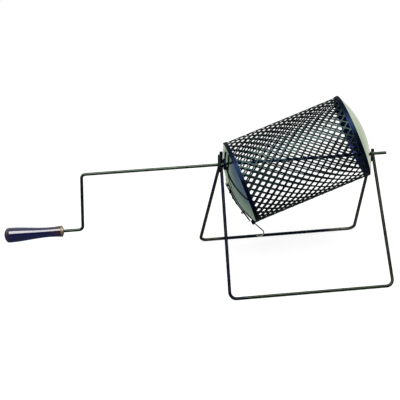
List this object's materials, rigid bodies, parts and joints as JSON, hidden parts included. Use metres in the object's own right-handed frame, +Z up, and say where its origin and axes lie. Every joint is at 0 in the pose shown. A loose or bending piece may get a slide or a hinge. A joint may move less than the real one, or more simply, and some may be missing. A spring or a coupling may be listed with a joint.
{
  "type": "chestnut roaster",
  "caption": "Hand-cranked roasting drum of pierced sheet on a bent rod, tilted between domed caps, lying in a wire trestle with a loading door.",
  "frame": {"origin": "on the ground under the middle of the drum, half way between the two foot rails", "axes": "+X along the rod away from the crank, +Y away from the viewer, +Z up"},
  "size_m": [0.944, 0.3538, 0.432],
  "materials": {
    "trestle_wire": "drawn dark steel wire",
    "rod_steel": "drawn steel rod",
    "drum_steel": "dark pierced sheet",
    "hoop_steel": "blued steel",
    "cap_metal": "pressed, bright",
    "fittings": "plain steel",
    "grip_wood": "dark gloss lacquer",
    "ferrule_wood": "bare turned wood"
  },
  "bodies": {
    "stand": {"front_frame": "trestle_wire", "rear_frame": "trestle_wire"},
    "rotor": {"crank_rod": "rod_steel", "drum_shell": "drum_steel", "seam_strip": "drum_steel", "crank_end_hoop": "hoop_steel", "far_end_hoop": "hoop_steel", "crank_end_cap": "cap_metal", "far_end_cap": "cap_metal", "crank_hub_flange": "hoop_steel", "far_hub_flange": "hoop_steel", "hinge_leaf": "cap_metal", "hinge_pin": "fittings", "latch_bracket": "hoop_steel", "latch_pin": "fittings", "grip_washer": "fittings"},
    "door": {"loading_door": "cap_metal", "door_strap": "hoop_steel"},
    "hook": {"latch_hook": "fittings"},
    "handle": {"grip": "grip_wood", "grip_ferrule": "ferrule_wood"}
  },
  "joints": [
    {"name": "drum_spin", "type": "hinge", "parent": "stand", "child": "rotor", "pos_m": [0, 0, 0.282], "axis": [1, 0, 0], "continuous": true},
    {"name": "door_hinge", "type": "hinge", "parent": "rotor", "child": "door", "pos_m": [-0.17136, 0, 0.22389], "axis": [0, 1, 0], "range_deg": [0, 80]},
    {"name": "hook_swing", "type": "hinge", "parent": "rotor", "child": "hook", "pos_m": [-0.10627, 0, 0.12254], "axis": [0, 1, 0], "range_deg": [0, 100]},
    {"name": "grip_spin", "type": "hinge", "parent": "rotor", "child": "handle", "pos_m": [-0.648, 0, 0.138], "axis": [1, 0, 0], "continuous": true}
  ]
}
